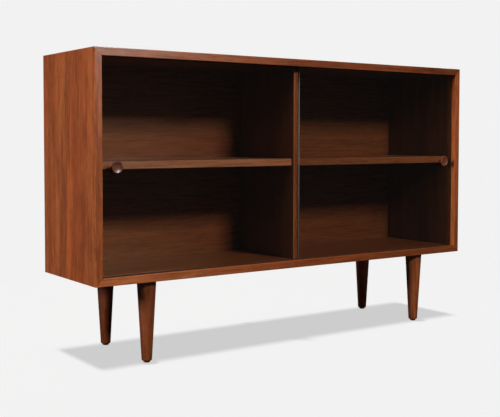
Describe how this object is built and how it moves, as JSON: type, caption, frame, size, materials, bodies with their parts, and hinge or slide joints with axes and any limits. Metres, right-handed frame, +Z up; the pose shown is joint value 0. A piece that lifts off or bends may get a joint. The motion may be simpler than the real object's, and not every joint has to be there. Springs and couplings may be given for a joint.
{
  "type": "glass-door bookcase",
  "caption": "Low walnut bookcase on turned tapered legs, with sliding glass doors in double tracks, a centre divider and a shelf in each half.",
  "frame": {"origin": "on the floor under the middle of the bookcase: the middle of the bounding box's bottom", "axes": "+X to the right along the width, -Y towards the front with the glass doors, +Z up"},
  "size_m": [1.219, 0.305, 0.762],
  "materials": {
    "walnut": "oiled, satin",
    "dark_walnut": "oiled, satin",
    "beech": "raw",
    "clear_glass": "polished",
    "track_plastic": "satin",
    "glide_plastic": "satin",
    "rubber": "matte",
    "steel": "zinc plated",
    "brass": "plain"
  },
  "bodies": {
    "cabinet": {"left_side": "walnut", "right_side": "walnut", "top_board": "walnut", "bottom_board": "walnut", "back_panel": "walnut", "center_divider": "walnut", "left_shelf": "walnut", "right_shelf": "walnut", "leg_front_left": "walnut", "leg_rear_left": "walnut", "leg_front_right": "walnut", "leg_rear_right": "walnut", "mitre_spline_lower_left": "beech", "mitre_spline_upper_left": "beech", "mitre_spline_lower_right": "beech", "mitre_spline_upper_right": "beech", "divider_dowel_lower_front": "beech", "divider_dowel_upper_front": "beech", "divider_dowel_lower_rear": "beech", "divider_dowel_upper_rear": "beech", "lower_track": "track_plastic", "upper_track": "track_plastic", "shelf_pin_left_side_front": "brass", "shelf_pin_left_side_rear": "brass", "shelf_pin_left_divider_front": "brass", "shelf_pin_left_divider_rear": "brass", "shelf_pin_right_side_front": "brass", "shelf_pin_right_side_rear": "brass", "shelf_pin_right_divider_front": "brass", "shelf_pin_right_divider_rear": "brass", "leg_insert_front_left": "brass", "leg_insert_rear_left": "brass", "leg_insert_front_right": "brass", "leg_insert_rear_right": "brass", "hanger_bolt_front_left": "steel", "hanger_bolt_rear_left": "steel", "hanger_bolt_front_right": "steel", "hanger_bolt_rear_right": "steel", "glide_front_left": "glide_plastic", "glide_rear_left": "glide_plastic", "glide_front_right": "glide_plastic", "glide_rear_right": "glide_plastic", "back_screw_bottom_1": "steel", "back_screw_bottom_2": "steel", "back_screw_bottom_3": "steel", "back_screw_top_1": "steel", "back_screw_top_2": "steel", "back_screw_top_3": "steel", "back_screw_left_1": "steel", "back_screw_left_2": "steel", "back_screw_right_1": "steel", "back_screw_right_2": "steel"},
    "left_door": {"glass_door_left": "clear_glass", "knob_left": "dark_walnut", "knob_screw_left": "steel", "knob_grommet_left": "rubber"},
    "right_door": {"glass_door_right": "clear_glass", "knob_right": "dark_walnut", "knob_screw_right": "steel", "knob_grommet_right": "rubber"}
  },
  "joints": [
    {"name": "left_door_slide", "type": "slide", "parent": "cabinet", "child": "left_door", "axis": [1, 0, 0], "range_m": [0, 0.264]},
    {"name": "right_door_slide", "type": "slide", "parent": "cabinet", "child": "right_door", "axis": [-1, 0, 0], "range_m": [0, 0.264]}
  ]
}
